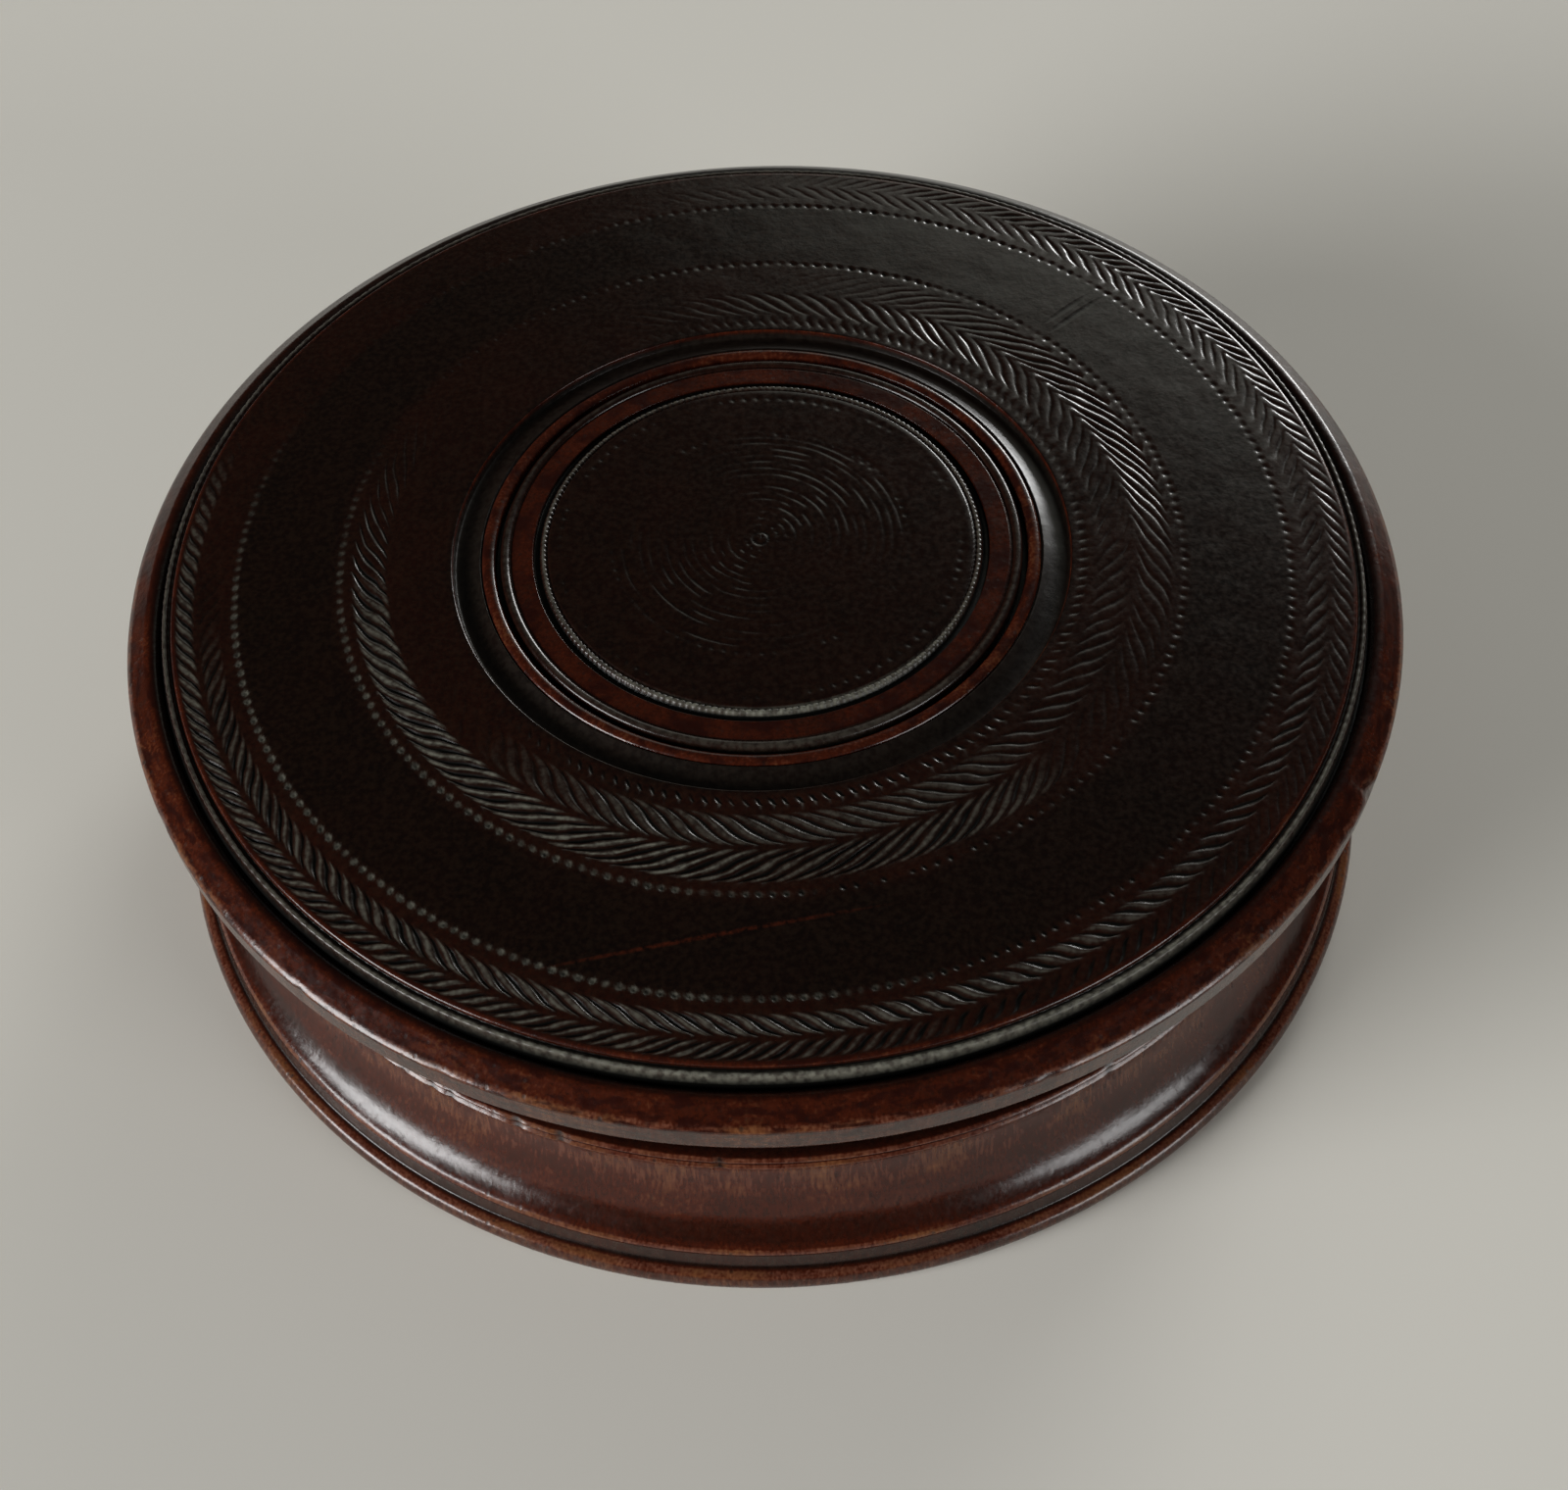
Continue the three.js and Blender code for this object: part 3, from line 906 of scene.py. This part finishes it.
# The tool chattered as it was fed outward, so its fine spiral breaks into dashes
def chatterMarks(piece):
    s = medallionShape
    ringRadius, ringWidth, ringDepth = s["centreRing"]
    pressVaries, pressPerMm = s["pressed"]
    breakVaries, breaksPerMm, breaksPerRadian = s["broken"]
    shadeBegins, shadeSteep, shadeMost = s["paintedShade"]
    hollowDepth, hollowsPerMm = s["uneven"]
    dirtAndShade, waxAndHighlights = (piece.data.attributes[name].data for name in ("dirtAndShade", "waxAndHighlights"))
    for index, vertex in enumerate(piece.data.vertices):
        r = vertex.co.xy.length / mm
        depth = domeHeight(r) - vertex.co.z / mm
        turnAngle = math.atan2(vertex.co.y, vertex.co.x)
        if waxAndHighlights[index].value > 0:
            middle = s["milledMiddle"] if r < s["bandInner"] else s["edge"] - s["beadWidth"] / 2
            waxAndHighlights[index].value *= waxAndHighlightShown(r, math.degrees(turnAngle) % 360, middle)
        if r > s["fieldEdge"] - 0.1 or depth > 0.2:
            continue
        place = vertex.co / mm
        depth *= max(0.0, min(1.0, 0.5 + pressVaries * noise.noise(place * pressPerMm)))
        if depth < leastDepth:
            wave = 0.5 + 0.5 * math.cos(2 * math.pi * (r / s["chatterPitch"] - turnAngle / (2 * math.pi)))
            breaks = noise.noise(Vector((r * breaksPerMm, turnAngle * breaksPerRadian, 4.0)))
            breaks = max(0.0, min(1.0, 0.5 + breakVaries * breaks))
            strong = max(0.0, min(1.0, (s["chatterEnd"] - r) / s["chatterFade"]))
            strong *= 0.6 + 0.4 * math.cos(2 * (turnAngle - s["chatterStrongest"]))
            depth += s["chatterDepth"] * wave ** 2 * breaks * strong
            depth += ringDepth * math.exp(-((r - ringRadius) / ringWidth) ** 2)
        # Painted shade: the deeper a dot or chatter mark, the darker it is painted
        dirtAndShade[index].value = min(shadeMost, shadeSteep * max(0.0, depth - shadeBegins))
        depth += hollowDepth * (1 + noise.noise(place * hollowsPerMm))
        vertex.co.z = (domeHeight(r) - depth) * mm


def buildMedallion(material):
    s = medallionShape
    top = domeHeight(s["milledMiddle"]) - s["milledRadius"]
    before = [
        (s["fieldEdge"], domeHeight(s["fieldEdge"]), "field"),
        (s["fieldEdge"] + 0.1, domeHeight(s["fieldEdge"]) - 0.04, "shaded"),
    ]
    after = [(s["grooveInner"], top - 0.1, "groove")]
    inside, outside = medallionRows["dotsG"], medallionRows["dotsF"]
    pieces = [
        turn("medallionSide", easeCorners(medallionOutline(), 0.06)),
        milledBead("innerBead", s["milledMiddle"], top, s["milledRadius"], s["milledCount"],
                   before, after, s["milledNotch"]),
        turn("centreField", fieldOutline(0, inside["inner"] - rowGap, 0.11)),
        turn("middleField", fieldOutline(inside["outer"] + rowGap, outside["inner"] - rowGap, 0.25)),
    ]
    for name, row in medallionRows.items():
        pieces.append(ringOfCells(name, row["count"], *dotPoints, dotForm(row, dotPoints[1])))
    medallion = joinPieces("lid_medallion", pieces)
    for row in (inside, outside):
        bridgeRings(medallion, row["inner"] - rowGap, row["inner"])
    bridgeRings(medallion, inside["outer"], inside["outer"] + rowGap)
    bridgeRings(medallion, outside["outer"], s["fieldEdge"])
    bridgeRings(medallion, s["grooveInner"], s["grooveInner"] + 0.07)
    weld(medallion)
    chatterMarks(medallion)
    finishPiece(medallion, "lid", [material])
    return medallion


# The stage: a plain pale floor, soft lamps low on both sides and behind, and the camera

def buildFloor():
    bpy.ops.object.select_all(action="DESELECT")
    bpy.ops.mesh.primitive_plane_add(size=8, location=(0, 0, 0))
    floor = bpy.context.object
    floor.name = "floor"
    # Matt paper, pressed smooth: even, pale, with hardly any gloss
    material = bpy.data.materials.new("palePaper")
    material.use_nodes = True
    tree = material.node_tree
    tree.nodes.clear()
    place = addNode(tree, "TexCoord").outputs["Object"]
    cloud = addNode(tree, "TexNoise", (), {"Vector": place, "Scale": 6, "Detail": 2})
    tint = addNode(tree, "Mix", {"data_type": "RGBA"}, {
        0: cloud.outputs["Fac"], 6: colour("#e2dfd5"), 7: colour("#e9e6de")})
    shader = addNode(tree, "BsdfPrincipled", (), {
        "Base Color": tint, "Roughness": 0.9, "Specular IOR Level": 0.1})
    addNode(tree, "OutputMaterial", (), {"Surface": shader})
    floor.data.materials.append(material)


# Each lamp: compass angle and height in degrees as seen from the box, how wide and tall it looks
# in degrees, and how bright. A glow is the light that a curtain spreads, with no mirror image
lamps = {
    "windowBack": {"around": 61, "up": 11, "wide": 24, "tall": 14, "bright": 17.0},
    "windowLeft": {"around": 206, "up": 13, "wide": 34, "tall": 20, "bright": 16.0},
    "windowRight": {"around": 322, "up": 12, "wide": 30, "tall": 18, "bright": 7.5},
    "glowBack": {"around": 66, "up": 14, "wide": 34, "tall": 22, "bright": 2.9},
    "glowLeft": {"around": 206, "up": 19, "wide": 36, "tall": 34, "bright": 4.6},
    "glowRight": {"around": 322, "up": 17, "wide": 32, "tall": 32, "bright": 1.0},
    "glowCeiling": {"around": 90, "up": 89, "wide": 100, "tall": 100, "bright": 0.11},
}
lampDistance = 1.2


def buildLamps():
    for name, lamp in lamps.items():
        around, up = math.radians(lamp["around"]), math.radians(lamp["up"])
        toLamp = Vector((math.cos(around) * math.cos(up), math.sin(around) * math.cos(up), math.sin(up)))
        light = bpy.data.lights.new(name, "AREA")
        light.shape = "ELLIPSE"
        light.size = 2 * lampDistance * math.tan(math.radians(lamp["wide"] / 2))
        light.size_y = 2 * lampDistance * math.tan(math.radians(lamp["tall"] / 2))
        area = math.pi * light.size * light.size_y / 4
        light.energy = lamp["bright"] * math.pi * area
        holder = bpy.data.objects.new(name, light)
        holder.location = toLamp * lampDistance
        holder.rotation_euler = toLamp.to_track_quat("Z", "Y").to_euler()
        holder.visible_glossy = not name.startswith("glow")
        bpy.context.scene.collection.objects.link(holder)


# A dim room with one pale soft patch low down at the back: which way it lies, how bright the room and
# the patch are, and where the patch begins and is full, as the cosine of the angle from its middle
room = {"toPatch": (0.36, 0.891, 0.276), "dim": 0.022, "pale": 0.75, "begins": 0.885, "full": 0.97}


def buildWorld():
    world = bpy.data.worlds.new("dimRoom")
    bpy.context.scene.world = world
    world.use_nodes = True
    tree = world.node_tree
    tree.nodes.clear()
    toSky = addNode(tree, "TexCoord").outputs["Generated"]
    nearness = addNode(tree, "VectorMath", {"operation": "DOT_PRODUCT"}, {0: toSky, 1: room["toPatch"]})
    level = addNode(tree, "MapRange", {"interpolation_type": "SMOOTHSTEP"}, {
        0: nearness.outputs["Value"], 1: room["begins"], 2: room["full"], 3: room["dim"], 4: room["pale"]})
    shade = addNode(tree, "Background", (), {"Color": colour("#f3f4e6"), "Strength": level})
    addNode(tree, "OutputWorld", (), {"Surface": shade})


cameraPlace = {
    "location": (0.0, -0.12550, 0.16321),
    "rotation": (38.0366, 1.4298, -2.2986),    # degrees
    "lens": 60.75,
}


def buildCamera():
    lens = bpy.data.cameras.new("camera")
    lens.lens = cameraPlace["lens"]
    lens.sensor_width = 36
    lens.sensor_fit = "HORIZONTAL"
    lens.clip_start = 0.01
    lens.clip_end = 20
    camera = bpy.data.objects.new("camera", lens)
    camera.location = cameraPlace["location"]
    camera.rotation_euler = [math.radians(a) for a in cameraPlace["rotation"]]
    bpy.context.scene.collection.objects.link(camera)
    bpy.context.scene.camera = camera


buildCamera()
buildFloor()
buildLamps()
buildWorld()
print("camera, floor and lamps are set")

waxed = rosewoodWaxed()
buildBase(waxed)
buildRim(waxed)
buildPanel(waxed)
buildMedallion(waxed)
print("base, lid and medallion are turned")

bpy.context.scene.view_settings.view_transform = "Standard"
